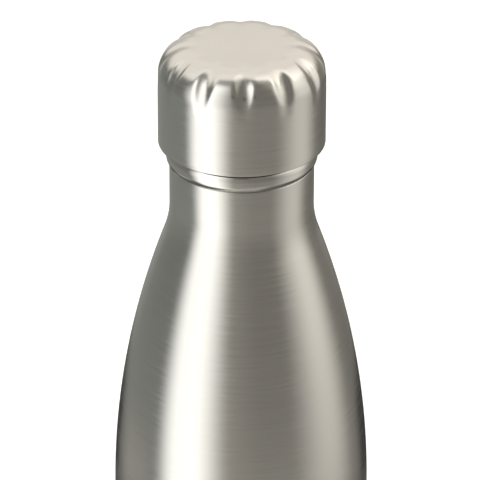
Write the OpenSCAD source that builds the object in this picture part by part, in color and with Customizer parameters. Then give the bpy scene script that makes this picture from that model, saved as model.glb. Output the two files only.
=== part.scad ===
// Insulated water bottle: a vacuum body of two steel walls, a polished mouth ring, and a screw
// stopper under a fluted steel cap. The origin is the centre of the foot, on the ground, and +Z
// runs up the bottle's axis. Everything is drawn with the cap screwed down.

/* [Body] */
// Height of the bottle with its cap screwed down
total_h = 260; // [250:1:275]
// Outer diameter of the straight part of the body
body_d = 71; // [69:0.5:75]
// Thickness of the outer steel wall
outer_wall = 0.5; // [0.4:0.1:0.6]
// Thickness of the inner steel wall
inner_wall = 0.4; // [0.3:0.1:0.5]
// Width of the vacuum gap between the two walls
vacuum_gap = 2.75; // [2.5:0.05:3]
// Side-view radius of the long bulging shoulder
shoulder_r = 236; // [180:2:280]
// Side-view radius of the hollow flare between shoulder and neck
flare_r = 27; // [20:1:32]
// Height at which the body starts to draw in towards the foot
taper_h = 30; // [24:1:36]
// Side-view radius of the body's lower end as it draws in
taper_r = 150; // [130:5:200]
// Radius of the rounded edge around the foot
foot_round = 3; // [2:0.5:4]

/* [Foot] */
// Diameter of the welded base plate inside the foot
base_d = 57; // [54:0.5:58]
// Depth of the recess under the bottle
base_recess = 2.5; // [2:0.1:2.8]
// Diameter of the well around the evacuation hole
well_d = 18; // [14:1:22]
// Diameter of the evacuation hole
evac_hole_d = 2; // [1.5:0.1:2.5]
// Thickness of the cover glued into the recess
cover_t = 0.4; // [0.3:0.1:0.6]

/* [Neck and mouth] */
// Outer diameter of the neck
neck_d = 39.3; // [39:0.1:39.8]
// Straight length of neck between the flare and the mouth ring
neck_h = 12.1; // [9:0.1:15]
// Outer diameter of the polished mouth ring
ring_d = 41.1; // [40.8:0.1:41.3]
// Height of mouth ring left in view below the cap
ring_show_h = 6.2; // [5.2:0.2:8]
// Height of the drinking lip above the cap's lower rim
lip_rise = 4; // [3:0.5:5]
// Outer diameter of the drinking lip above the ring
lip_d = 38.4; // [38.2:0.1:39]
// Sheet thickness of the mouth ring
ring_wall = 0.6; // [0.5:0.1:0.8]

/* [Cap] */
// Outer diameter of the cap
cap_d = 45.3; // [45.1:0.1:46]
// Height of the cap from its lower rim to its flat top
cap_h = 28; // [27:0.5:30]
// Thickness of the cap's steel shell
cap_wall = 0.5; // [0.4:0.1:0.5]
// Radius of the rounded crown between the cap's side and its top
crown_r = 8.6; // [7:0.2:9.4]
// Number of finger flutes pressed into the crown
flutes = 12; // [8:1:14]
// Angle by which the nearest flute stands to the right of the viewer's side
flute_turn = 1.5; // [0:0.5:3]
// Radius of the hollow of one flute across its width
flute_r = 5.2; // [4.8:0.2:5.6]
// Radius of a flute's floor in the side view, from its head down to its foot
flute_floor_r = 11.4; // [11.2:0.1:11.8]
// Height above the rim at which a flute runs out on the cap's side
flute_foot_h = 18; // [17.8:0.1:18.2]
// Distance from the axis at which a flute's floor reaches the level of the top
flute_head_r = 15; // [14.8:0.1:15.2]

/* [Stopper and thread] */
// Rise of the thread in one turn
thread_pitch = 5; // [4:0.5:6]
// Number of turns of ridge on the stopper
thread_turns = 2; // [1.25:0.25:2.25]
// Wall thickness of the hollow stopper
plug_wall = 1.8; // [1.4:0.1:2.2]
// Length of the stopper below its flange
plug_l = 24.7; // [24:0.1:26]
// Thickness of the flange that carries the seal
flange_t = 2; // [1.6:0.1:2.4]
// Thickness of the silicone seal between flange and lip
seal_t = 2.2; // [1.8:0.1:2.6]
// Outer diameter of the silicone seal
seal_d = 36.4; // [35:0.2:37]

/* [Hidden] */
$fn = 128;

// Clearance between round faces that are welded, glued or pressed together.
snug = 0.05;
// Running clearance between the stopper and the seal that turns on it.
running = 0.08;
// Overlap that keeps a cutter or a root from ending on the face it meets.
bite = 0.2;

body_r = body_d / 2;
neck_r = neck_d / 2;
ring_r = ring_d / 2;
lip_r = lip_d / 2;
cap_r = cap_d / 2;
base_r = base_d / 2;
well_r = well_d / 2;

// Heights, from the top down.
rim_z = total_h - cap_h;
lip_z = rim_z + lip_rise;
ring_z = rim_z - ring_show_h;
// The mouth ring's bead would be closed by arcs that end this far outside its visible height.
bead_trim = 0.3;
bead_low_z = ring_z - bead_trim;
bead_high_z = rim_z - bead_trim;
flare_z = ring_z - neck_h;

// The shoulder and the flare are two arcs that touch: with the distance between their centres
// equal to the sum of their radii, the drop from the flare to the shoulder follows.
arcs_sum = shoulder_r + flare_r;
neck_step = body_r - neck_r;
shoulder_z = flare_z - sqrt(neck_step * (2 * arcs_sum - neck_step));
shoulder_x = body_r - shoulder_r;
flare_x = neck_r + flare_r;
taper_x = body_r - taper_r;

// Distances inward from the bottle's outer surface.
vessel_out = outer_wall + vacuum_gap;
vessel_in = vessel_out + inner_wall;
foil_t = 0.05;
foil_in = vessel_out - snug;
bore_r = neck_r - vessel_in;

// The well in the base plate goes this far further in than the recess.
well_depth = 1.5;
well_z = base_recess + well_depth;

// The floor of the inner vessel and the radius of its rounded edge.
vessel_floor_z = 7;
vessel_round = 8;

// Both threads have ridges of the same section, half a pitch apart.
ridge_root_w = 2;
ridge_tip_w = 1.2;
core_r = bore_r - plug_wall;
plug_ridge_play = 0.4;
plug_ridge_r = bore_r - plug_ridge_play;
neck_ridge_h = 1.1;
neck_ridge_r = bore_r - neck_ridge_h;
// Angle between two sections of a ridge, and the angle over which it rises from its root.
ridge_step = 10;
ridge_fade = 40;
// The neck's thread starts this far below the lip.
neck_ridge_drop = 15.5;
neck_ridge_z = lip_z - neck_ridge_drop;
plug_ridge_z = neck_ridge_z - thread_pitch / 2;

// Heights inside the cap.
flange_z = lip_z + seal_t;
plug_z = flange_z - plug_l;
end_plate_t = 2;
spigot_h = 1.2;
skirt_t = 1.2;
skirt_r = cap_r - cap_wall - snug;
// The skirt starts this far above the cap's rim.
skirt_lift = 1;
skirt_h = 13;

// A flute's floor in the side view is the arc through its head and its foot. It starts level with
// its centre, and ends where it has risen just clear of the flat top.
flute_run = cap_r - flute_head_r;
flute_fall = cap_h - flute_foot_h;
flute_half = sqrt(flute_run * flute_run + flute_fall * flute_fall) / 2;
flute_back = sqrt(flute_floor_r * flute_floor_r - flute_half * flute_half);
flute_centre_x = (cap_r + flute_head_r) / 2 - flute_back * flute_fall / (2 * flute_half);
flute_centre_z = total_h - flute_fall / 2 - flute_back * flute_run / (2 * flute_half);
flute_head_clear = 0.18;
flute_head_angle = asin((total_h + flute_head_clear - flute_centre_z) / flute_floor_r);
// Height of the punch's face above its middle, kept low so that neighbours do not meet.
punch_t = 1;

// ---- Profiles: half outlines, drawn in the plane of the axis ----

// Points along an arc, without its last one, which is where the next stretch starts.
function arc(centre, radius, from, to, steps) = [
    for (i = [0 : steps - 1])
        let (a = from + (to - from) * i / steps)
            centre + radius * [cos(a), sin(a)]
];

function reversed(points) = [for (i = [len(points) - 1 : -1 : 0]) points[i]];

// The bottle's side moved inward by inset, from the floor up to the straight part: the rounded
// edge, then the stretch that draws in. The two arcs touch, the small one inside the large one.
function lower_side(inset, floor_z, edge) =
    let (
        reach = taper_r - inset - edge,
        drop = taper_h - floor_z - edge,
        angle = -asin(drop / reach),
        edge_centre = [taper_x + reach * cos(angle), floor_z + edge]
    )
    concat(
        arc(edge_centre, edge, -90, angle, 8),
        arc([taper_x, taper_h], taper_r - inset, angle, 0, 8)
    );

// The bottle's side moved inward by inset, from the straight part up to top_z in the neck.
function upper_side(inset, top_z) =
    let (angle = atan2(flare_z - shoulder_z, flare_x - shoulder_x))
    concat(
        [[body_r - inset, taper_h]],
        arc([shoulder_x, shoulder_z], shoulder_r - inset, 0, angle, 24),
        arc([flare_x, flare_z], flare_r + inset, 180 + angle, 180, 10),
        [[neck_r - inset, flare_z], [neck_r - inset, top_z]]
    );

// A quarter of a disc, filling the corner between +X and +Y.
module quarter(radius) {
    intersection() {
        circle(radius);
        square(radius);
    }
}

// A ring section with its two outer corners rounded.
module band(inner, outer, low, high, low_round, high_round) {
    translate([inner, low + low_round])
        square([outer - inner, high - low - low_round - high_round]);
    if (low_round > 0) {
        translate([inner, low]) square([outer - inner - low_round, low_round]);
        translate([outer - low_round, low + low_round]) mirror([0, 1]) quarter(low_round);
    }
    if (high_round > 0) {
        translate([inner, high - high_round]) square([outer - inner - high_round, high_round]);
        translate([outer - high_round, high - high_round]) quarter(high_round);
    }
}

// ---- Thread ----

// A ridge wound round the axis, sunk into the wall at root and standing out to tip. It starts
// at low_z, makes the given turns, and fades to the root at both ends.
module thread_ridge(root, tip, low_z, turns) {
    steps = round(turns * 360 / ridge_step);
    function fade(i) = min(1, (min(i, steps - i) + 0.5) * ridge_step / ridge_fade);
    function crest(i) = root + (tip - root) * fade(i);
    function place(i, radius, side) = [
        radius * cos(i * ridge_step),
        radius * sin(i * ridge_step),
        low_z + thread_pitch * i * ridge_step / 360 + side
    ];
    points = [
        for (i = [0 : steps])
            each [
                place(i, root, -ridge_root_w / 2),
                place(i, crest(i), -ridge_tip_w / 2),
                place(i, crest(i), ridge_tip_w / 2),
                place(i, root, ridge_root_w / 2)
            ]
    ];
    sides = [
        for (i = [0 : steps - 1], k = [0 : 3])
            each [
                [4 * i + k, 4 * i + (k + 1) % 4, 4 * i + 4 + k],
                [4 * i + (k + 1) % 4, 4 * i + 4 + (k + 1) % 4, 4 * i + 4 + k]
            ]
    ];
    last = 4 * steps;
    ends = [[0, 3, 2, 1], [last, last + 1, last + 2, last + 3]];
    faces = concat(sides, ends);
    // A ridge that stands inward has its section mirrored, so its faces are wound the other way.
    polyhedron(points, tip > root ? faces : [for (f = faces) reversed(f)], convexity = 6);
}

// ---- Body ----

// Brushed outer wall, drawn in one piece from the foot to the groove under the mouth ring, where
// its edge is rolled in.
module outer_shell() {
    roll_r = 1;
    roll_z = ring_z - roll_r - snug;
    roll_centre = [neck_r - roll_r, roll_z];
    outside = concat(
        lower_side(0, 0, foot_round),
        upper_side(0, roll_z),
        arc(roll_centre, roll_r, 15, 75, 4)
    );
    inside = concat(
        lower_side(outer_wall, outer_wall, foot_round - outer_wall),
        upper_side(outer_wall, roll_z),
        arc(roll_centre, roll_r - outer_wall, 15, 75, 4)
    );
    color("silver") rotate_extrude()
        polygon(concat([[base_r, 0]], outside, reversed(inside), [[base_r, outer_wall]]));
}

// Recessed plate that closes the outer wall, with a well around the evacuation hole.
module outer_base() {
    plate_r = base_r - snug;
    color("darkgray") rotate_extrude() {
        translate([plate_r - outer_wall, 0]) square([outer_wall, base_recess + outer_wall]);
        translate([well_r - outer_wall, base_recess])
            square([plate_r - well_r + outer_wall, outer_wall]);
        translate([well_r - outer_wall, base_recess]) square([outer_wall, well_z - base_recess]);
        translate([evac_hole_d / 2, well_z]) square([well_r - evac_hole_d / 2, outer_wall]);
    }
}

// Thin disc glued into the recess, hiding the sealed hole.
module base_cover() {
    cover_r = base_r - 2 * snug - outer_wall;
    color("gainsboro") rotate_extrude()
        band(0, cover_r, base_recess - cover_t, base_recess, cover_t / 2, 0);
}

// Bead of sealing glass that plugs the evacuation hole.
module evacuation_seal() {
    bead_r = 2.4;
    bead_h = 0.8;
    color("dimgray") rotate_extrude() {
        band(0, bead_r, well_z - bead_h, well_z, bead_h / 2, 0);
        translate([0, well_z]) square([evac_hole_d / 2 - snug, outer_wall]);
    }
}

// Where the getter sits on the base plate, inside the vacuum, and its holder's wall.
getter_x = 18;
getter_z = base_recess + outer_wall;
getter_r = 4;
getter_h = 1.6;
holder_t = 0.3;

// Shallow pressed cup, spot-welded to the base plate.
module getter_holder() {
    holder_r = getter_r + snug + holder_t;
    color("silver") translate([getter_x, 0, getter_z]) difference() {
        cylinder(h = getter_h + holder_t, r = holder_r);
        translate([0, 0, holder_t]) cylinder(h = getter_h + bite, r = getter_r + snug);
    }
}

// Sintered pellet that soaks up the last gas in the vacuum.
module getter_pellet() {
    color("dimgray") translate([getter_x, 0, getter_z + holder_t])
        cylinder(h = getter_h, r = getter_r);
}

// A sheet that follows the bottle's side between two insets, from the straight part to top_z.
module upper_sheet(outer_inset, inner_inset, top_z) {
    rotate_extrude()
        polygon(concat(upper_side(outer_inset, top_z), reversed(upper_side(inner_inset, top_z))));
}

// Copper foil wound round the inner vessel, which turns radiant heat back.
module foil_wrap() {
    color("peru") upper_sheet(foil_in - foil_t, foil_in, flare_z + neck_h / 2);
}

// Inner vessel that holds the drink, with the rolled thread inside its neck.
module inner_vessel() {
    color("lightgray") {
        upper_sheet(vessel_out, vessel_in, lip_z - ring_wall);
        thread_ridge(bore_r + inner_wall / 2, neck_ridge_r, neck_ridge_z, thread_turns);
    }
}

// Pressed base of the inner vessel, a cup welded on where the straight part starts.
module inner_base() {
    outside = lower_side(vessel_out, vessel_floor_z, vessel_round);
    inside = lower_side(vessel_in, vessel_floor_z + inner_wall, vessel_round - inner_wall);
    color("darkgray") rotate_extrude()
        polygon(concat(
            [[0, vessel_floor_z]], outside,
            [[body_r - vessel_out, taper_h], [body_r - vessel_in, taper_h]],
            reversed(inside), [[0, vessel_floor_z + inner_wall]]
        ));
}

// Polished folded ring that joins both walls: a round bead that shows below the cap, and above
// it the drinking lip. The bead curves in under itself and ends at the rolled edge of the wall.
module mouth_ring() {
    low_round = 2.9;
    high_round = 3.1;
    lip_round = 1;
    low_centre = [ring_r - low_round, bead_low_z + low_round];
    high_centre = [ring_r - high_round, bead_high_z - high_round];
    lip_centre = [lip_r - lip_round, lip_z - lip_round];
    foot_angle = -asin((low_centre.y - ring_z) / low_round);
    // One face of the sheet, from the foot of the bead over the lip to the bore.
    function face(depth) =
        let (
            high_r = high_round - depth,
            meet = acos((lip_r - depth - high_centre.x) / high_r)
        )
        concat(
            arc(low_centre, low_round - depth, foot_angle, 0, 12),
            arc(high_centre, high_r, 0, meet, 12),
            [[lip_r - depth, high_centre.y + high_r * sin(meet)]],
            arc(lip_centre, lip_round - depth, 0, 90, 6),
            [[lip_centre.x, lip_z - depth], [bore_r, lip_z - depth]]
        );
    color("whitesmoke") rotate_extrude()
        polygon(concat(face(0), reversed(face(ring_wall))));
}

// ---- Cap ----

// Silicone washer between the stopper's flange and the lip.
module seal_ring() {
    seal_round = 0.7;
    color("white") rotate_extrude()
        band(core_r + running, seal_d / 2, lip_z, flange_z, seal_round, seal_round);
}

// Plastic stopper: hollow threaded plug, flange over the seal, and skirt inside the cap.
module stopper_body() {
    // The small bead that keeps the seal on the plug is as proud as it is high.
    bead_h = 0.8;
    color("lightslategray") {
        rotate_extrude() {
            translate([0, flange_z]) square([skirt_r, flange_t]);
            translate([skirt_r - skirt_t, rim_z + skirt_lift]) square([skirt_t, skirt_h]);
            translate([core_r - plug_wall, plug_z + end_plate_t])
                square([plug_wall, plug_l - end_plate_t]);
            translate([core_r - plug_wall, lip_z - 2 * bead_h])
                square([plug_wall + bead_h, bead_h]);
        }
        thread_ridge(core_r - bite, plug_ridge_r, plug_ridge_z, thread_turns);
    }
}

// Plate welded into the stopper's open lower end.
module stopper_end_plate() {
    edge_round = 1;
    color("slategray") rotate_extrude() {
        band(0, core_r, plug_z, plug_z + end_plate_t, edge_round, 0);
        translate([0, plug_z + end_plate_t]) square([core_r - plug_wall - snug, spigot_h]);
    }
}

// Foam core inside the hollow stopper.
module plug_foam() {
    foam_low = plug_z + end_plate_t + spigot_h + bite;
    color("ivory") translate([0, 0, foam_low])
        cylinder(h = flange_z - foam_low, r = core_r - plug_wall - 2 * snug);
}

// Foam that fills the cap between the stopper and the steel crown. Its side is straight up to
// just below the flutes and then draws in to clear them.
module cap_foam() {
    foam_r = skirt_r - skirt_t - 2 * snug;
    foam_low = flange_z + flange_t;
    below_flutes = 1;
    below_top = 1.5;
    inside_heads = 1.4;
    side_h = rim_z + flute_foot_h - below_flutes - foam_low;
    crown_h = total_h - below_top - foam_low - side_h;
    color("ivory") {
        translate([0, 0, foam_low]) cylinder(h = side_h, r = foam_r);
        translate([0, 0, foam_low + side_h])
            cylinder(h = crown_h, r1 = foam_r, r2 = flute_head_r - inside_heads);
    }
}

// The punch that presses one flute. Its face is round across and its path is an arc in the side
// view, from above the top to just off the side; inset moves that face inward by as much.
module flute_punch(inset) {
    punch_h = 3;
    translate([flute_centre_x, 0, flute_centre_z]) rotate([90, 0, 0])
        rotate_extrude(angle = flute_head_angle) intersection() {
            translate([flute_floor_r + flute_r, 0]) circle(r = flute_r + inset);
            translate([flute_floor_r + punch_t - punch_h, -flute_r])
                square([punch_h, 2 * flute_r]);
        }
}

// The cap's solid form moved inward by inset, with every flute pressed into it.
module cap_form(inset) {
    difference() {
        rotate_extrude()
            band(0, cap_r - inset, rim_z - inset, total_h - inset, 0, crown_r - inset);
        for (i = [0 : flutes - 1])
            rotate(i * 360 / flutes - 90 + flute_turn) flute_punch(inset);
    }
}

// Fluted steel shell of the cap, open at the bottom.
module cap_shell() {
    color("silver") difference() {
        cap_form(0);
        cap_form(cap_wall);
    }
}

outer_shell();
outer_base();
base_cover();
evacuation_seal();
getter_holder();
getter_pellet();
foil_wrap();
inner_vessel();
inner_base();
mouth_ring();
seal_ring();
stopper_body();
stopper_end_plate();
plug_foam();
cap_foam();
cap_shell();
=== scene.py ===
"""Insulated water bottle: the looks of every piece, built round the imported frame.

Shapes are written in millimetres and turned into metres when a mesh is made. Radii are measured
from the bottle's axis and heights from the ground.
"""
import math

import bmesh
import bpy
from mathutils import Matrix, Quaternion, Vector


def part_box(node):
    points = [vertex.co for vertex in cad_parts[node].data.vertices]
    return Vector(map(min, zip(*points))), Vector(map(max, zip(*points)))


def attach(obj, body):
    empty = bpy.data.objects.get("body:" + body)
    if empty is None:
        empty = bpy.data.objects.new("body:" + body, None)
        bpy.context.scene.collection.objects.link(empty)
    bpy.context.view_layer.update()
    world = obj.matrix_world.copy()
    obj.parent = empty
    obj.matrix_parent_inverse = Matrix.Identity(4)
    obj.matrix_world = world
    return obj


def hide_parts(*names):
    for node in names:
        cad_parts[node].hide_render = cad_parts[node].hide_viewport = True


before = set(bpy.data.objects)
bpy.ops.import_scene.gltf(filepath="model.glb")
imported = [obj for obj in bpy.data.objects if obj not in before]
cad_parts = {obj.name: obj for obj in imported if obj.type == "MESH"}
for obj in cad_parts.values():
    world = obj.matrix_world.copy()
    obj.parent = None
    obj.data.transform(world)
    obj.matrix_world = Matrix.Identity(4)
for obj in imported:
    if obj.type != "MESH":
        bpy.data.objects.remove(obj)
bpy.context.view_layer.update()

MM = 0.001
SEGMENTS = 288
SHARP_ANGLE = math.radians(38)


def low(node):
    """A CAD node's lowest corner at rest, in millimetres."""
    return Vector(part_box(node)[0]) / MM


def high(node):
    """A CAD node's highest corner at rest, in millimetres."""
    return Vector(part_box(node)[1]) / MM


# ---- Sizes: the frame gives the outer ones, and these complete the side view ----

BODY_R = high("outer_shell").x
RING_R = high("mouth_ring").x
CAP_R = high("cap_shell").x
SEAL_R = high("seal_ring").x
NECK_R = 19.65
LIP_R = 19.2

RING_Z = low("mouth_ring").z
LIP_Z = high("mouth_ring").z
RIM_Z = low("cap_shell").z
TOP_Z = high("cap_shell").z
NECK_H = 12.1
FLARE_Z = RING_Z - NECK_H
TAPER_Z = 30.0

OUTER_WALL = 0.5
INNER_WALL = 0.4
GAP = 2.75
FOOT_ROUND = 3
VESSEL_ROUND = 8
PLAY = 0.05
VESSEL_OUT = OUTER_WALL + GAP
VESSEL_IN = VESSEL_OUT + INNER_WALL
BORE_R = NECK_R - VESSEL_IN

SHOULDER_RADIUS = 236.0
FLARE_RADIUS = 27.0
TAPER_RADIUS = 150.0
ARCS_SUM = SHOULDER_RADIUS + FLARE_RADIUS
NECK_STEP = BODY_R - NECK_R
SHOULDER_Z = FLARE_Z - math.sqrt(NECK_STEP * (2 * ARCS_SUM - NECK_STEP))

CAP_WALL = 0.5
CROWN_RADIUS = 8.6
FLUTES = 12
FLUTE_TURN = math.radians(1.5)
FLUTE_RADIUS = 5.2
FLUTE_HEAD_R = 15.0
FLUTE_FOOT_Z = RIM_Z + 18
FLUTE_FLOOR_RADIUS = 11.4
FLUTE_SOFTNESS = 0.28

PITCH = 5.0
THREAD_TURNS = 2.0
THREAD_FADE = 45
RIDGE_ROOT_W = 2.1
RIDGE_TIP_W = 1.1
NECK_RIDGE_H = 1.1
PLUG_RIDGE_H = 1.4
NECK_THREAD_Z = LIP_Z - 15.5
PLUG_THREAD_Z = NECK_THREAD_Z - PITCH / 2
PLUG_WALL = 1.8
CORE_R = BORE_R - PLUG_WALL


# ---- Paths in the side view ----

def arc(centre_r, centre_z, radius, start, end, steps):
    """Points along an arc, angles in degrees, without the last one."""
    points = []
    for i in range(steps):
        a = math.radians(start + (end - start) * i / steps)
        points.append((centre_r + radius * math.cos(a), centre_z + radius * math.sin(a)))
    return points


def line(start, end, steps):
    """Evenly spaced points from start up to, but not including, end."""
    return [
        tuple(s + (e - s) * i / steps for s, e in zip(start, end))
        for i in range(steps)
    ]


def lower_side(inset, floor_z, edge):
    """The body's side moved inward by inset, from the floor up to the straight part."""
    reach = TAPER_RADIUS - inset - edge
    drop = TAPER_Z - floor_z - edge
    angle = -math.degrees(math.asin(drop / reach))
    centre_r = BODY_R - TAPER_RADIUS
    edge_r = centre_r + reach * math.cos(math.radians(angle))
    return (
        arc(edge_r, floor_z + edge, edge, -90, angle, 16)
        + arc(centre_r, TAPER_Z, TAPER_RADIUS - inset, angle, 0, 16)
    )


def upper_side(inset, top_z):
    """The body's side moved inward by inset, from the straight part up to top_z."""
    shoulder_r = BODY_R - SHOULDER_RADIUS
    flare_r = NECK_R + FLARE_RADIUS
    angle = math.degrees(math.atan2(FLARE_Z - SHOULDER_Z, flare_r - shoulder_r))
    return (
        line((BODY_R - inset, TAPER_Z), (BODY_R - inset, SHOULDER_Z), 24)
        + arc(shoulder_r, SHOULDER_Z, SHOULDER_RADIUS - inset, 0, angle, 64)
        + arc(flare_r, FLARE_Z, FLARE_RADIUS + inset, 180 + angle, 180, 24)
        + [(NECK_R - inset, FLARE_Z), (NECK_R - inset, top_z)]
    )


# ---- Meshes ----

def make_object(name, verts, faces, sharp=SHARP_ANGLE):
    """A smooth-shaded object from points in millimetres, with its creases kept sharp."""
    mesh = bpy.data.meshes.new(name)
    mesh.from_pydata([tuple(c * MM for c in v) for v in verts], [], faces)
    work = bmesh.new()
    work.from_mesh(mesh)
    bmesh.ops.recalc_face_normals(work, faces=work.faces)
    work.to_mesh(mesh)
    work.free()
    for polygon in mesh.polygons:
        polygon.use_smooth = True
    mesh.set_sharp_from_angle(angle=sharp)
    obj = bpy.data.objects.new(name, mesh)
    bpy.context.scene.collection.objects.link(obj)
    return obj


def lathe(name, path, closed=True, shape=None, segments=SEGMENTS):
    """Turns a path round the axis.

    A closed path makes a ring. An open path starts and ends on the axis and makes a solid disc
    or plug. shape(index, r, z, angle) may move a point in its own plane before it is placed.
    """
    verts = []
    rows = []
    for index, (r, z) in enumerate(path):
        if r < 1e-6:
            rows.append([len(verts)])
            verts.append((0.0, 0.0, z))
            continue
        row = []
        for k in range(segments):
            angle = 2 * math.pi * k / segments
            pr, pz = shape(index, r, z, angle) if shape else (r, z)
            row.append(len(verts))
            verts.append((pr * math.cos(angle), pr * math.sin(angle), pz))
        rows.append(row)
    faces = []
    for i in range(len(rows) if closed else len(rows) - 1):
        a, b = rows[i], rows[(i + 1) % len(rows)]
        for k in range(segments):
            n = (k + 1) % segments
            if len(a) == 1:
                faces.append((a[0], b[k], b[n]))
            elif len(b) == 1:
                faces.append((a[k], b[0], a[n]))
            else:
                faces.append((a[k], b[k], b[n], a[n]))
    return make_object(name, verts, faces)


def smooth_step(x):
    x = min(1.0, max(0.0, x))
    return x * x * (3 - 2 * x)


def thread_height(z, angle, start_z):
    """How far the thread's ridge stands out at a point, from 0 at its root to 1 on its crest."""
    best = 0.0
    for turn in range(int(THREAD_TURNS) + 1):
        along = angle / (2 * math.pi) + turn
        if along > THREAD_TURNS:
            continue
        off = abs(z - start_z - PITCH * along)
        side = smooth_step((RIDGE_ROOT_W / 2 - off) / ((RIDGE_ROOT_W - RIDGE_TIP_W) / 2))
        fade = smooth_step(min(along, THREAD_TURNS - along) * 360 / THREAD_FADE)
        best = max(best, side * fade)
    return best


# ---- Materials ----

class Nodes:
    """Short calls for building a node tree."""

    def __init__(self, tree):
        self.tree = tree
        tree.nodes.clear()

    def add(self, kind, **settings):
        node = self.tree.nodes.new(kind)
        for key, value in settings.items():
            setattr(node, key, value)
        return node

    def link(self, source, target):
        self.tree.links.new(source, target)

    def put(self, target, value):
        """Sets a socket to a number, a colour or another socket."""
        if isinstance(value, bpy.types.NodeSocket):
            self.link(value, target)
        else:
            target.default_value = value

    def math(self, operation, *values, clamp=False):
        node = self.add("ShaderNodeMath", operation=operation, use_clamp=clamp)
        for socket, value in zip(node.inputs, values):
            self.put(socket, value)
        return node.outputs[0]

    def ramp(self, value, start, end, low_value=0.0, high_value=1.0, kind="SMOOTHSTEP"):
        """Goes from low_value to high_value as value goes from start to end."""
        node = self.add("ShaderNodeMapRange", interpolation_type=kind)
        for key, item in zip((0, 1, 2, 3, 4), (value, start, end, low_value, high_value)):
            self.put(node.inputs[key], item)
        return node.outputs[0]

    def mix(self, factor, a, b):
        node = self.add("ShaderNodeMix", data_type="RGBA")
        self.put(node.inputs["Factor"], factor)
        self.put(node.inputs[6], a)
        self.put(node.inputs[7], b)
        return node.outputs[2]

    def vector(self, x, y, z):
        node = self.add("ShaderNodeCombineXYZ")
        for socket, value in zip(node.inputs, (x, y, z)):
            self.put(socket, value)
        return node.outputs[0]

    def noise(self, vector, scale, detail=3.0, roughness=0.55):
        node = self.add("ShaderNodeTexNoise")
        self.put(node.inputs["Vector"], vector)
        self.put(node.inputs["Scale"], scale)
        self.put(node.inputs["Detail"], detail)
        self.put(node.inputs["Roughness"], roughness)
        return node.outputs["Fac"]

    def bump(self, height, strength, distance):
        node = self.add("ShaderNodeBump")
        self.put(node.inputs["Height"], height)
        self.put(node.inputs["Strength"], strength)
        self.put(node.inputs["Distance"], distance)
        return node.outputs["Normal"]


def new_material(name):
    material = bpy.data.materials.new(name)
    material.use_nodes = True
    nodes = Nodes(material.node_tree)
    shader = nodes.add("ShaderNodeBsdfPrincipled")
    output = nodes.add("ShaderNodeOutputMaterial")
    nodes.link(shader.outputs[0], output.inputs["Surface"])
    return material, nodes, shader


def axis_coordinates(nodes):
    """Object coordinates in millimetres: x, y, z and the distance from the axis."""
    place = nodes.add("ShaderNodeTexCoord").outputs["Object"]
    split = nodes.add("ShaderNodeSeparateXYZ")
    nodes.link(place, split.inputs[0])
    x, y, z = (nodes.math("MULTIPLY", split.outputs[k], 1 / MM) for k in range(3))
    squares = nodes.math("ADD", nodes.math("MULTIPLY", x, x), nodes.math("MULTIPLY", y, y))
    return x, y, z, nodes.math("SQRT", squares)


def brushed_steel(name, colour, roughness, anisotropy, grain):
    """Steel turned on a lathe: fine scratches run round the axis and smear reflections up and
    down. grain is how strongly the scratches show."""
    material, nodes, shader = new_material(name)
    x, y, z, r = axis_coordinates(nodes)
    across = nodes.math("SUBTRACT", z, r)
    around_x = nodes.math("MULTIPLY", x, 0.06)
    around_y = nodes.math("MULTIPLY", y, 0.06)

    def scratches(density, detail):
        place = nodes.vector(around_x, around_y, nodes.math("MULTIPLY", across, density))
        return nodes.noise(place, 1.0, detail)

    fine = scratches(4.5, 1.0)
    broad = scratches(1.5, 2.0)
    smudge = nodes.noise(nodes.vector(x, y, z), 0.045, 2.0)
    streaks = nodes.math("ADD", nodes.math("MULTIPLY", fine, 0.35),
                         nodes.math("MULTIPLY", broad, 0.65))
    tint = nodes.ramp(streaks, 0.3, 0.7, 1 - 0.03 * grain, 1 + 0.03 * grain, "LINEAR")
    scaled = nodes.add("ShaderNodeVectorMath", operation="SCALE")
    scaled.inputs[0].default_value = colour
    nodes.put(scaled.inputs["Scale"], tint)
    nodes.link(scaled.outputs[0], shader.inputs["Base Color"])
    rough = nodes.math("ADD", nodes.ramp(broad, 0.3, 0.7, -0.04 * grain, 0.04 * grain), roughness)
    rough = nodes.math("ADD", rough, nodes.ramp(smudge, 0.35, 0.65, -0.012, 0.012))
    nodes.put(shader.inputs["Roughness"], rough)
    shader.inputs["Metallic"].default_value = 1.0
    shader.inputs["Anisotropic"].default_value = anisotropy
    shader.inputs["Anisotropic Rotation"].default_value = 0.25
    tangent = nodes.add("ShaderNodeTangent", direction_type="RADIAL", axis="Z")
    nodes.link(tangent.outputs[0], shader.inputs["Tangent"])
    height = nodes.math("ADD", fine, nodes.math("MULTIPLY", broad, 0.5))
    nodes.link(nodes.bump(height, 0.06 * grain, 0.05 * MM), shader.inputs["Normal"])
    return material


def polished_steel(name, colour):
    """Steel buffed to a mirror, with a faint haze and hairline turning marks."""
    material, nodes, shader = new_material(name)
    x, y, z, r = axis_coordinates(nodes)
    across = nodes.math("SUBTRACT", z, r)
    marks = nodes.noise(
        nodes.vector(nodes.math("MULTIPLY", x, 0.1), nodes.math("MULTIPLY", y, 0.1),
                     nodes.math("MULTIPLY", across, 3.0)), 1.0, 3.0)
    haze = nodes.noise(nodes.vector(x, y, z), 0.15, 2.0)
    shader.inputs["Base Color"].default_value = (*colour, 1)
    shader.inputs["Metallic"].default_value = 1.0
    nodes.put(shader.inputs["Roughness"], nodes.ramp(haze, 0.3, 0.7, 0.06, 0.12))
    nodes.link(nodes.bump(marks, 0.04, 0.05 * MM), shader.inputs["Normal"])
    return material


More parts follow.
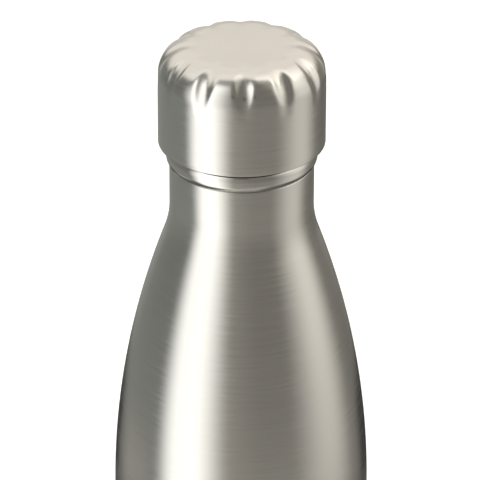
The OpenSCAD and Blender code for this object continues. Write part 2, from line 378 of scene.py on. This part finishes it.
def moulded(name, colour, roughness, grain_scale, bump, subsurface=0.0):
    """Moulded plastic or rubber: an even colour that drifts slightly, and a fine mould texture."""
    material, nodes, shader = new_material(name)
    x, y, z, _ = axis_coordinates(nodes)
    place = nodes.vector(x, y, z)
    drift = nodes.noise(place, 0.12, 2.0)
    texture = nodes.noise(place, grain_scale, 3.0)
    darker = tuple(c * 0.88 for c in colour)
    lighter = tuple(min(1.0, c * 1.1) for c in colour)
    nodes.put(shader.inputs["Base Color"],
              nodes.mix(nodes.ramp(drift, 0.3, 0.7), (*darker, 1), (*lighter, 1)))
    nodes.put(shader.inputs["Roughness"],
              nodes.ramp(texture, 0.3, 0.7, roughness - 0.06, roughness + 0.06))
    shader.inputs["Subsurface Weight"].default_value = subsurface
    shader.inputs["Subsurface Scale"].default_value = 1.5 * MM
    nodes.link(nodes.bump(texture, bump, 0.05 * MM), shader.inputs["Normal"])
    return material


def foam_material(name, colour):
    """Cut foam: small cells, their mouths darkened with painted shade."""
    material, nodes, shader = new_material(name)
    x, y, z, _ = axis_coordinates(nodes)
    cells = nodes.add("ShaderNodeTexVoronoi", feature="F1")
    nodes.link(nodes.vector(x, y, z), cells.inputs["Vector"])
    cells.inputs["Scale"].default_value = 1.4
    depth = nodes.ramp(cells.outputs["Distance"], 0.1, 0.6)
    # Painted shade: the colour darkens down into each cell's mouth.
    shade = tuple(c * 0.6 for c in colour)
    nodes.put(shader.inputs["Base Color"], nodes.mix(depth, (*shade, 1), (*colour, 1)))
    shader.inputs["Roughness"].default_value = 0.9
    nodes.link(nodes.bump(depth, 0.5, 0.3 * MM), shader.inputs["Normal"])
    return material


def foil_material(name, colour):
    """Copper foil with the creases of hand winding."""
    material, nodes, shader = new_material(name)
    x, y, z, _ = axis_coordinates(nodes)
    place = nodes.vector(x, y, z)
    creases = nodes.add("ShaderNodeTexVoronoi", feature="DISTANCE_TO_EDGE")
    nodes.link(place, creases.inputs["Vector"])
    creases.inputs["Scale"].default_value = 0.16
    wrinkle = nodes.noise(place, 0.35, 5.0)
    height = nodes.math("ADD", nodes.ramp(creases.outputs["Distance"], 0.0, 0.12), wrinkle)
    shader.inputs["Metallic"].default_value = 1.0
    dull = tuple(c * 0.8 for c in colour)
    nodes.put(shader.inputs["Base Color"], nodes.mix(wrinkle, (*dull, 1), (*colour, 1)))
    nodes.put(shader.inputs["Roughness"], nodes.ramp(wrinkle, 0.3, 0.7, 0.18, 0.34))
    nodes.link(nodes.bump(height, 0.5, 0.4 * MM), shader.inputs["Normal"])
    return material


def sintered_material(name, colour):
    """Pressed metal powder: dark, coarse and dull."""
    material, nodes, shader = new_material(name)
    x, y, z, _ = axis_coordinates(nodes)
    grains = nodes.noise(nodes.vector(x, y, z), 5.0, 6.0, 0.7)
    light = tuple(c * 2.2 for c in colour)
    nodes.put(shader.inputs["Base Color"],
              nodes.mix(nodes.ramp(grains, 0.45, 0.7), (*colour, 1), (*light, 1)))
    shader.inputs["Metallic"].default_value = 0.7
    shader.inputs["Roughness"].default_value = 0.62
    nodes.link(nodes.bump(grains, 0.6, 0.15 * MM), shader.inputs["Normal"])
    return material


def glass_material(name, colour):
    """Fused sealing glass: dark, glossy, with a few trapped bubbles."""
    material, nodes, shader = new_material(name)
    x, y, z, _ = axis_coordinates(nodes)
    bubbles = nodes.add("ShaderNodeTexVoronoi", feature="F1")
    nodes.link(nodes.vector(x, y, z), bubbles.inputs["Vector"])
    bubbles.inputs["Scale"].default_value = 2.2
    spots = nodes.ramp(bubbles.outputs["Distance"], 0.06, 0.16, 1.0, 0.0)
    pale = tuple(min(1.0, c * 3 + 0.05) for c in colour)
    nodes.put(shader.inputs["Base Color"], nodes.mix(spots, (*colour, 1), (*pale, 1)))
    shader.inputs["Roughness"].default_value = 0.08
    shader.inputs["Coat Weight"].default_value = 0.5
    nodes.link(nodes.bump(spots, 0.2, 0.1 * MM), shader.inputs["Normal"])
    return material


STEEL = (0.60, 0.59, 0.565)
MATERIALS = {
    "body_steel": brushed_steel("body_steel", STEEL, 0.22, 0.55, 1.0),
    "cap_steel": brushed_steel("cap_steel", STEEL, 0.19, 0.5, 1.2),
    "inner_steel": brushed_steel("inner_steel", (0.58, 0.57, 0.55), 0.3, 0.4, 1.2),
    "base_steel": brushed_steel("base_steel", (0.58, 0.57, 0.55), 0.26, 0.5, 1.3),
    "ring_steel": polished_steel("ring_steel", (0.62, 0.61, 0.585)),
    "stopper_plastic": moulded("stopper_plastic", (0.035, 0.035, 0.036), 0.42, 3.0, 0.1),
    "silicone": moulded("silicone", (0.80, 0.80, 0.78), 0.5, 2.0, 0.08, 0.3),
    "foam": foam_material("foam", (0.86, 0.83, 0.74)),
    "copper_foil": foil_material("copper_foil", (0.86, 0.46, 0.28)),
    "getter": sintered_material("getter", (0.06, 0.06, 0.065)),
    "sealing_glass": glass_material("sealing_glass", (0.03, 0.035, 0.035)),
}


def dress(obj, material):
    obj.data.materials.clear()
    obj.data.materials.append(MATERIALS[material])


def stand_for(obj, node, body, material):
    """Puts a finished piece in the place of a CAD node."""
    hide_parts(node)
    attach(obj, body)
    dress(obj, material)


# ---- Bottle body ----

def build_outer_shell():
    roll_r = 0.35
    roll_z = RING_Z - roll_r
    foot_r = high("outer_base").x
    outside = (
        lower_side(0, 0, FOOT_ROUND)
        + upper_side(0, roll_z)
        + arc(NECK_R - roll_r, roll_z, roll_r, 8, 88, 10)
    )
    inside = (
        lower_side(OUTER_WALL, OUTER_WALL, FOOT_ROUND - OUTER_WALL)
        + upper_side(OUTER_WALL, RING_Z)
    )
    start = foot_r + PLAY
    path = [(start, 0)] + outside + inside[::-1] + [(start, OUTER_WALL)]
    stand_for(lathe("outer_shell_steel", path), "outer_shell", "bottle",
              "body_steel")


def build_mouth_ring():
    """The folded ring: its lower edge curves in to the neck, its bead in to the lip."""
    wall = 0.6
    bead_z = RIM_Z - 0.1
    foot_cut = 0.7
    low_round, bead_round, lip_round, bore_round = 2.9, 3.1, 1.0, 0.3
    low_r, low_z = RING_R - low_round, RING_Z - foot_cut + low_round
    foot_angle = -math.degrees(math.asin((low_z - RING_Z) / low_round))
    bead_r = RING_R - bead_round
    lip_side = LIP_R - bead_r
    meet = math.degrees(math.acos(lip_side / bead_round))
    outside = (
        arc(low_r, low_z, low_round, foot_angle, 0, 24)
        + line((RING_R, low_z), (RING_R, bead_z - bead_round), 4)
        + arc(bead_r, bead_z - bead_round, bead_round, 0, meet, 28)
        + [(LIP_R, bead_z - bead_round + bead_round * math.sin(math.radians(meet)))]
        + arc(LIP_R - lip_round, LIP_Z - lip_round, lip_round, 0, 90, 14)
        + [(LIP_R - lip_round, LIP_Z)]
        + arc(BORE_R + bore_round, LIP_Z - bore_round, bore_round, 90, 180, 8)
        + [(BORE_R, LIP_Z - bore_round)]
    )
    inner_r = RING_R - wall
    inner_round = bead_round - wall
    inner_side = LIP_R - wall - bead_r
    inner_meet = math.degrees(math.acos(inner_side / inner_round))
    inside = (
        [(BORE_R, LIP_Z - wall)]
        + arc(LIP_R - lip_round, LIP_Z - lip_round, lip_round - wall, 90, 0, 8)
        + arc(bead_r, bead_z - bead_round, inner_round, inner_meet, 0, 14)
        + arc(low_r, low_z, low_round - wall, 0, foot_angle, 12)
        + arc(low_r, low_z, low_round - wall, foot_angle, foot_angle - 1, 1)
    )
    stand_for(lathe("mouth_ring_steel", outside + inside), "mouth_ring", "bottle",
              "ring_steel")


def build_inner_vessel():
    lip_wall = 0.6
    top_z = LIP_Z - lip_wall
    beyond = 2.5
    first, last = NECK_THREAD_Z - beyond, NECK_THREAD_Z + PITCH * THREAD_TURNS + beyond
    rows = 84
    outside = upper_side(VESSEL_OUT, top_z)
    inside = (
        [(BORE_R, top_z)]
        + line((BORE_R, last), (BORE_R, first), rows)
        + [(BORE_R, first)]
        + upper_side(VESSEL_IN, top_z)[-2::-1]
    )
    ridge = range(len(outside), len(outside) + rows + 3)

    def shape(index, r, z, angle):
        if index in ridge:
            r -= NECK_RIDGE_H * thread_height(z, angle, NECK_THREAD_Z)
        return r, z

    stand_for(lathe("inner_vessel_steel", outside + inside, shape=shape), "inner_vessel",
              "bottle", "inner_steel")


def build_inner_base():
    floor_z = low("inner_base").z
    outside = lower_side(VESSEL_OUT, floor_z, VESSEL_ROUND) + [(BODY_R - VESSEL_OUT, TAPER_Z)]
    inside = (
        lower_side(VESSEL_IN, floor_z + INNER_WALL, VESSEL_ROUND - INNER_WALL)
        + [(BODY_R - VESSEL_IN, TAPER_Z)]
    )
    path = [(0, floor_z)] + outside + inside[::-1] + [(0, floor_z + INNER_WALL)]
    stand_for(lathe("inner_base_steel", path, closed=False), "inner_base", "bottle",
              "inner_steel")


# ---- Cap ----

def flute_floor():
    """Centre of the arc that a flute's floor follows in the side view, from head to foot."""
    run, fall = CAP_R - FLUTE_HEAD_R, TOP_Z - FLUTE_FOOT_Z
    half = math.hypot(run, fall) / 2
    back = math.sqrt(FLUTE_FLOOR_RADIUS ** 2 - half ** 2)
    return ((CAP_R + FLUTE_HEAD_R) / 2 - back * fall / (2 * half),
            (TOP_Z + FLUTE_FOOT_Z) / 2 - back * run / (2 * half))


def flute_push(r, z, angle, inset, centre):
    """How far and which way, in the side view, the nearest flute presses a point of the crown."""
    step = 2 * math.pi / FLUTES
    off = (angle + math.pi / 2 - FLUTE_TURN + step / 2) % step - step / 2
    radius = FLUTE_RADIUS + inset
    beside = r * math.sin(off)
    almost_whole = 0.95
    if abs(beside) > almost_whole * radius:
        return 0.0, 0.0
    ahead = r * math.cos(off) - centre[0]
    if ahead < 0:
        return 0.0, 0.0
    above = max(0.0, z - centre[1])
    reach = math.hypot(ahead, above)
    wall = radius - math.sqrt(radius ** 2 - beside ** 2)
    # Below the flute's foot the push dies away, so that the side stays straight.
    below = max(0.0, centre[1] - z)
    fall_off = 0.3
    proud = reach - FLUTE_FLOOR_RADIUS + inset - wall - fall_off * below
    soft = FLUTE_SOFTNESS
    push = (proud + math.hypot(proud, soft)) / 2
    # The rounding reaches past the flute's edge, and is brought to nothing beyond it.
    push *= smooth_step(1 + (proud + 0.1) / (3 * soft))
    return push * ahead / reach, push * above / reach


def build_cap_shell():
    rim_round = 0.2
    band_z = FLUTE_FOOT_Z - 2
    crown_r = CAP_R - CROWN_RADIUS
    crown_z = TOP_Z - CROWN_RADIUS
    outside = (
        line((0, TOP_Z), (crown_r, TOP_Z), 10)
        + arc(crown_r, crown_z, CROWN_RADIUS, 90, 0, 72)
        + line((CAP_R, crown_z), (CAP_R, band_z), 20)
        + line((CAP_R, band_z), (CAP_R, RIM_Z + rim_round), 10)
        + arc(CAP_R - rim_round, RIM_Z + rim_round, rim_round, 0, -90, 5)
    )
    inner_r = CAP_R - CAP_WALL
    inner_round = CROWN_RADIUS - CAP_WALL
    inside = (
        [(inner_r, RIM_Z)]
        + line((inner_r, RIM_Z), (inner_r, band_z), 6)[1:]
        + line((inner_r, band_z), (inner_r, crown_z), 18)
        + arc(crown_r, crown_z, inner_round, 0, 90, 48)
        + line((crown_r, TOP_Z - CAP_WALL), (0, TOP_Z - CAP_WALL), 6)
        + [(0, TOP_Z - CAP_WALL)]
    )

    centre = flute_floor()

    def shape(index, r, z, angle):
        inset = 0.0 if index < len(outside) else CAP_WALL
        push_r, push_z = flute_push(r, z, angle, inset, centre)
        return r - push_r, z - push_z

    cap = lathe("cap_shell_steel", outside + inside, closed=False, shape=shape, segments=480)
    stand_for(cap, "cap_shell", "cap", "cap_steel")


def build_seal_ring():
    bottom, top = low("seal_ring").z, high("seal_ring").z
    running_play = 0.08
    inner = CORE_R + running_play
    edge, bevel = 0.7, 0.2
    path = (
        [(inner + bevel, bottom)]
        + arc(SEAL_R - edge, bottom + edge, edge, -90, 0, 10)
        + arc(SEAL_R - edge, top - edge, edge, 0, 90, 10)
        + [(SEAL_R - edge, top), (inner + bevel, top)]
        + [(inner, top - bevel), (inner, bottom + bevel)]
    )
    stand_for(lathe("seal_ring_silicone", path), "seal_ring", "seal", "silicone")


def build_stopper():
    flange_t, skirt_t, skirt_lift = 2, 1.2, 1
    plug_z = low("stopper_body").z
    flange_z = high("seal_ring").z
    flange_top = flange_z + flange_t
    skirt_r = high("stopper_body").x
    skirt_in = skirt_r - skirt_t
    skirt_low, skirt_high = RIM_Z + skirt_lift, high("stopper_body").z
    fillet, skirt_round = 0.5, 0.3
    hollow_r = CORE_R - PLUG_WALL
    # The bead under the flange keeps the washer on the plug.
    bead_r, bead_low, bead_high = CORE_R + 0.8, LIP_Z - 1.6, LIP_Z - 0.8
    bead_round = 0.4
    beyond = 2
    first, last = PLUG_THREAD_Z - beyond, PLUG_THREAD_Z + PITCH * THREAD_TURNS + beyond
    threaded = [(CORE_R, plug_z)] + line((CORE_R, first), (CORE_R, last), 80) + [(CORE_R, last)]
    path = (
        threaded
        + [(CORE_R, bead_low), (bead_r - 0.25, bead_low)]
        + arc(bead_r - bead_round, bead_low + bead_round, bead_round, -60, 60, 6)
        + [(bead_r - 0.25, bead_high), (CORE_R, bead_high), (CORE_R, flange_z)]
        + [(skirt_in - fillet, flange_z), (skirt_in, flange_z - fillet)]
        + arc(skirt_in + skirt_round, skirt_low + skirt_round, skirt_round, 180, 270, 5)
        + arc(skirt_r - skirt_round, skirt_low + skirt_round, skirt_round, 270, 360, 5)
        + [(skirt_r, skirt_low + skirt_round), (skirt_r, skirt_high), (skirt_in, skirt_high)]
        + [(skirt_in, flange_top), (0, flange_top), (0, flange_z), (hollow_r, flange_z)]
        + [(hollow_r, plug_z)]
    )

    def shape(index, r, z, angle):
        if index < len(threaded):
            r += PLUG_RIDGE_H * thread_height(z, angle, PLUG_THREAD_Z)
        return r, z

    stand_for(plug_with_hollow("stopper_body_plastic", path, shape), "stopper_body", "cap",
              "stopper_plastic")


def plug_with_hollow(name, path, shape):
    """The stopper's path meets the axis twice, so it is split there and joined at the open end."""
    centre = [i for i, (r, _) in enumerate(path) if r < 1e-6]
    turn = centre[0]
    return lathe(name, path[turn + 1:] + path[:turn + 1], closed=False,
                 shape=lambda i, r, z, a: shape((i + turn + 1) % len(path), r, z, a))


def build_end_plate():
    bottom, top = low("stopper_end_plate").z, high("stopper_end_plate").z
    body_z = low("stopper_body").z
    spigot_r = CORE_R - PLUG_WALL - PLAY
    edge, land, dish = 1, 3, 0.25
    flat_r = CORE_R - edge
    path = (
        [(0, bottom + dish)]
        + line((flat_r - land, bottom + dish), (flat_r, bottom), 2)
        + arc(flat_r, bottom + edge, edge, -90, 0, 10)
        + [(CORE_R, bottom + edge), (CORE_R, body_z), (spigot_r, body_z)]
        + [(spigot_r, top), (0, top)]
    )
    stand_for(lathe("stopper_end_plate_plastic", path, closed=False), "stopper_end_plate", "cap",
              "stopper_plastic")


def dress_hidden_nodes():
    """CAD nodes whose shape is already right keep it and get a finished material."""
    looks = {
        "outer_base": "base_steel",
        "base_cover": "base_steel",
        "getter_holder": "base_steel",
        "evacuation_seal": "sealing_glass",
        "getter_pellet": "getter",
        "foil_wrap": "copper_foil",
        "plug_foam": "foam",
        "cap_foam": "foam",
    }
    for node, material in looks.items():
        dress(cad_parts[node], material)


# ---- Studio ----

def build_floor():
    """A large sheet of pale paper under the bottle."""
    size = 6.0
    mesh = bpy.data.meshes.new("studio_floor")
    mesh.from_pydata([(-size, -size, 0), (size, -size, 0), (size, size, 0), (-size, size, 0)],
                     [], [(0, 1, 2, 3)])
    floor = bpy.data.objects.new("studio_floor", mesh)
    bpy.context.scene.collection.objects.link(floor)
    floor.location.z = -0.0002
    # The steel mirrors the studio's lights and not the white sheet it stands on.
    floor.visible_glossy = False
    material, nodes, shader = new_material("studio_paper")
    shader.inputs["Base Color"].default_value = (0.86, 0.86, 0.85, 1)
    shader.inputs["Roughness"].default_value = 0.9
    shader.inputs["Emission Color"].default_value = (1, 1, 1, 1)
    shader.inputs["Emission Strength"].default_value = 0.42
    # Seen from below the sheet is clear, so that the foot can be looked at.
    behind = nodes.add("ShaderNodeNewGeometry").outputs["Backfacing"]
    clear = nodes.add("ShaderNodeBsdfTransparent")
    choose = nodes.add("ShaderNodeMixShader")
    nodes.link(behind, choose.inputs[0])
    nodes.link(shader.outputs[0], choose.inputs[1])
    nodes.link(clear.outputs[0], choose.inputs[2])
    output = material.node_tree.nodes["Material Output"]
    nodes.link(choose.outputs[0], output.inputs["Surface"])
    floor.data.materials.append(material)


def build_painted_table_reflection():
    """Painted reflection for the lower body: a glowing disc in place of the table it stands on,
    pale to the left and in front, with painted dark shade behind. Only reflections see it."""
    radius = 0.47
    steps = 64
    mesh = bpy.data.meshes.new("table_shade")
    angles = [2 * math.pi * k / steps for k in range(steps)]
    corners = [(radius * math.cos(a), radius * math.sin(a), 0) for a in angles]
    mesh.from_pydata(corners, [], [tuple(range(steps))])
    shade = bpy.data.objects.new("table_shade", mesh)
    bpy.context.scene.collection.objects.link(shade)
    shade.location.z = -0.0001
    shade.visible_camera = shade.visible_diffuse = False
    shade.visible_shadow = shade.visible_transmission = False
    material = bpy.data.materials.new("table_shade")
    material.use_nodes = True
    nodes = Nodes(material.node_tree)
    x, y, _, r = axis_coordinates(nodes)
    turn = nodes.math("ARCTAN2", x, nodes.math("MULTIPLY", y, -1.0))
    turn = nodes.math("MULTIPLY", turn, 180 / math.pi)

    def part(rise_from, rise_to, fall_from, fall_to, amount):
        """A sector that fades in and out at its sides, turns in degrees from the front."""
        up = nodes.ramp(turn, rise_from, rise_to, 0.0, amount)
        return nodes.math("MULTIPLY", up, nodes.ramp(turn, fall_from, fall_to, 1.0, 0.0))

    # Near the bottle, where the mouth ring's underside looks, the painted dark reflection is
    # wider.
    aside = nodes.math("ABSOLUTE", nodes.math("ADD", turn, 4.0))
    start_r = nodes.ramp(aside, 105, 140, 40, 110)
    full_r = nodes.ramp(aside, 105, 140, 90, 190)
    fade_in = nodes.ramp(r, start_r, full_r)
    fade_in_out = nodes.math("MULTIPLY", fade_in, nodes.ramp(r, 330, 450, 1.0, 0.0))
    start_turn = nodes.ramp(r, 222, 244, 60, 110)
    full_turn = nodes.ramp(r, 222, 244, 96, 146)
    back = nodes.ramp(aside, start_turn, full_turn)
    back = nodes.math("MULTIPLY", back, fade_in_out)
    cover = nodes.math("ADD", part(-150, -125, -98, -78, 1.0), part(-14, 2, 34, 60, 0.85))
    cover = nodes.math("ADD", cover, part(50, 70, 100, 115, 0.3))
    near = nodes.math("MULTIPLY", nodes.ramp(r, 200, 240), nodes.ramp(r, 290, 400, 1.0, 0.0))
    cover = nodes.math("MULTIPLY", cover, near)
    cover = nodes.math("MAXIMUM", cover, back, clamp=True)
    # The disc glows with these colours as a painted reflection: pale, and painted dark shade.
    glow = nodes.add("ShaderNodeEmission")
    pale, grey, black = (0.46, 0.445, 0.40, 1), (0.13, 0.135, 0.13, 1), (0.035, 0.036, 0.038, 1)
    dark = nodes.mix(nodes.ramp(r, 222, 244), grey, black)
    nodes.put(glow.inputs["Color"], nodes.mix(back, pale, dark))
    clear = nodes.add("ShaderNodeBsdfTransparent")
    choose = nodes.add("ShaderNodeMixShader")
    nodes.link(cover, choose.inputs[0])
    nodes.link(clear.outputs[0], choose.inputs[1])
    nodes.link(glow.outputs[0], choose.inputs[2])
    output = nodes.add("ShaderNodeOutputMaterial")
    nodes.link(choose.outputs[0], output.inputs["Surface"])
    mesh.materials.append(material)


def build_studio_light():
    """Soft studio light all round, seen only by the object: a grey room with a tall bright panel
    to the left, a weaker warm one to the right, and a broad ceiling panel behind and above. The
    camera sees plain white."""
    world = bpy.data.worlds.new("studio")
    bpy.context.scene.world = world
    world.use_nodes = True
    nodes = Nodes(world.node_tree)
    split = nodes.add("ShaderNodeSeparateXYZ")
    nodes.link(nodes.add("ShaderNodeTexCoord").outputs["Generated"], split.inputs[0])
    x, y, z = split.outputs
    front = nodes.math("MULTIPLY", y, -1.0)
    degrees = 180 / math.pi
    # Turn from the camera's side, positive to the right, and tilt from the front over the top.
    turn = nodes.math("MULTIPLY", nodes.math("ARCTAN2", x, front), degrees)
    over = nodes.math("MULTIPLY", nodes.math("ARCTAN2", z, front), degrees)
    rise = nodes.math("MULTIPLY", nodes.math("ARCSINE", z), degrees)

    def fade(value, rise_from, rise_to, fall_from, fall_to):
        """Rises from 0 to 1 between the first two values and falls back between the others."""
        return nodes.math("MULTIPLY", nodes.ramp(value, rise_from, rise_to),
                          nodes.ramp(value, fall_from, fall_to, 1.0, 0.0))

    inside = nodes.ramp(nodes.math("ABSOLUTE", x), 0.72, 0.9, 1.0, 0.0)
    ceiling = nodes.math("MULTIPLY", fade(over, 82, 92, 151, 174), inside)
    ceiling_front = nodes.math("MULTIPLY", ceiling, nodes.ramp(over, 96, 122, 1.0, 0.0))
    low = fade(rise, -24, -8, 6, 22)
    key = nodes.math("MULTIPLY", fade(turn, -86, -62, -46, -9), fade(rise, -66, -44, 50, 68))
    key_spill = fade(turn, -80, -30, -30, 24)
    fill = nodes.math("MULTIPLY", fade(turn, 43, 88, 92, 124), fade(rise, -60, -36, 30, 60))
    fill = nodes.math("MULTIPLY", fill, nodes.ramp(rise, -22, -2, 0.5, 0.8))
    # Above eye level the warm panel reaches further towards the front.
    wide = nodes.math("MULTIPLY", fade(turn, 36, 70, 120, 150), nodes.ramp(rise, 0, 28))
    aside = nodes.math("ABSOLUTE", turn)
    sweep = nodes.math("MULTIPLY", nodes.ramp(aside, 134, 172), low)
    # The table in front of the bottle is pale; beside it the lower half of the room is dark.
    down = nodes.ramp(rise, -38, -56)
    table = nodes.math("MULTIPLY", down, nodes.ramp(aside, 38, 78, 1.0, 0.0))
    room = nodes.math("MULTIPLY", nodes.ramp(rise, -32, 0, 0.32, 0.245),
                      nodes.math("SUBTRACT", 1.0, nodes.math("MULTIPLY", down, 0.7)))
    # Behind and to the right the room is darker below eye level.
    corner = nodes.math("MULTIPLY", fade(turn, 108, 146, 180, 181), nodes.ramp(rise, -8, -24))
    room = nodes.math("MULTIPLY", room,
                      nodes.math("SUBTRACT", 1.0, nodes.math("MULTIPLY", corner, 0.42)))
    # The camera and its stand are a dim spot straight in front.
    lens = nodes.math("MULTIPLY", nodes.ramp(aside, 9, 15, 1.0, 0.0), fade(rise, 20, 25, 31, 36))
    room = nodes.math("MULTIPLY", room,
                      nodes.math("SUBTRACT", 1.0, nodes.math("MULTIPLY", lens, 0.5)))
    # The left of the room is slightly cool and its front slightly warm.
    cool = nodes.math("MULTIPLY", room, nodes.ramp(turn, -75, -15, 1.0, 0.0))
    warm = nodes.math("SUBTRACT", room, cool)
    parts = [
        (cool, (0.965, 0.985, 0.93)),
        (warm, (1.04, 0.985, 0.89)),
        (table, (0.40, 0.385, 0.35)),
        (key, (1.5, 1.5, 1.48)),
        (key_spill, (0.15, 0.145, 0.13)),
        (fill, (1.0, 0.975, 0.90)),
        (wide, (0.33, 0.315, 0.27)),
        (ceiling, (0.96, 0.885, 0.81)),
        (ceiling_front, (0.12, 0.15, 0.16)),
        (sweep, (0.55, 0.52, 0.48)),
    ]
    total = None
    for amount, colour in parts:
        scaled = nodes.add("ShaderNodeVectorMath", operation="SCALE")
        scaled.inputs[0].default_value = colour
        nodes.put(scaled.inputs["Scale"], amount)
        if total is None:
            total = scaled.outputs[0]
            continue
        added = nodes.add("ShaderNodeVectorMath", operation="ADD")
        nodes.link(total, added.inputs[0])
        nodes.link(scaled.outputs[0], added.inputs[1])
        total = added.outputs[0]
    room = nodes.add("ShaderNodeBackground")
    nodes.link(total, room.inputs["Color"])
    white = nodes.add("ShaderNodeBackground")
    white.inputs["Color"].default_value = (1, 1, 1, 1)
    white.inputs["Strength"].default_value = 1.1
    seen = nodes.add("ShaderNodeLightPath").outputs["Is Camera Ray"]
    choose = nodes.add("ShaderNodeMixShader")
    nodes.link(seen, choose.inputs[0])
    nodes.link(room.outputs[0], choose.inputs[1])
    nodes.link(white.outputs[0], choose.inputs[2])
    output = nodes.add("ShaderNodeOutputWorld")
    nodes.link(choose.outputs[0], output.inputs["Surface"])


def build_camera():
    """Looks down at the cap and shoulder from the front, through a long lens."""
    elevation = math.radians(28)
    roll = math.radians(0.12)
    distance = 1.1
    aim = Vector((-0.43, 0, RIM_Z - 30.8)) * MM
    data = bpy.data.cameras.new("camera")
    data.lens = 301.6
    data.sensor_width = 36
    data.clip_start, data.clip_end = 0.05, 50
    camera = bpy.data.objects.new("camera", data)
    bpy.context.scene.collection.objects.link(camera)
    back = Vector((0, -math.cos(elevation), math.sin(elevation)))
    camera.location = aim + back * distance
    camera.rotation_mode = "QUATERNION"
    tilt = Quaternion(back, roll)
    camera.rotation_quaternion = tilt @ (-back).to_track_quat("-Z", "Y")
    bpy.context.scene.camera = camera


build_outer_shell()
build_mouth_ring()
build_inner_vessel()
build_inner_base()
build_cap_shell()
build_seal_ring()
build_stopper()
build_end_plate()
dress_hidden_nodes()
build_floor()
build_painted_table_reflection()
build_studio_light()
build_camera()
bpy.context.scene.view_settings.view_transform = "Standard"
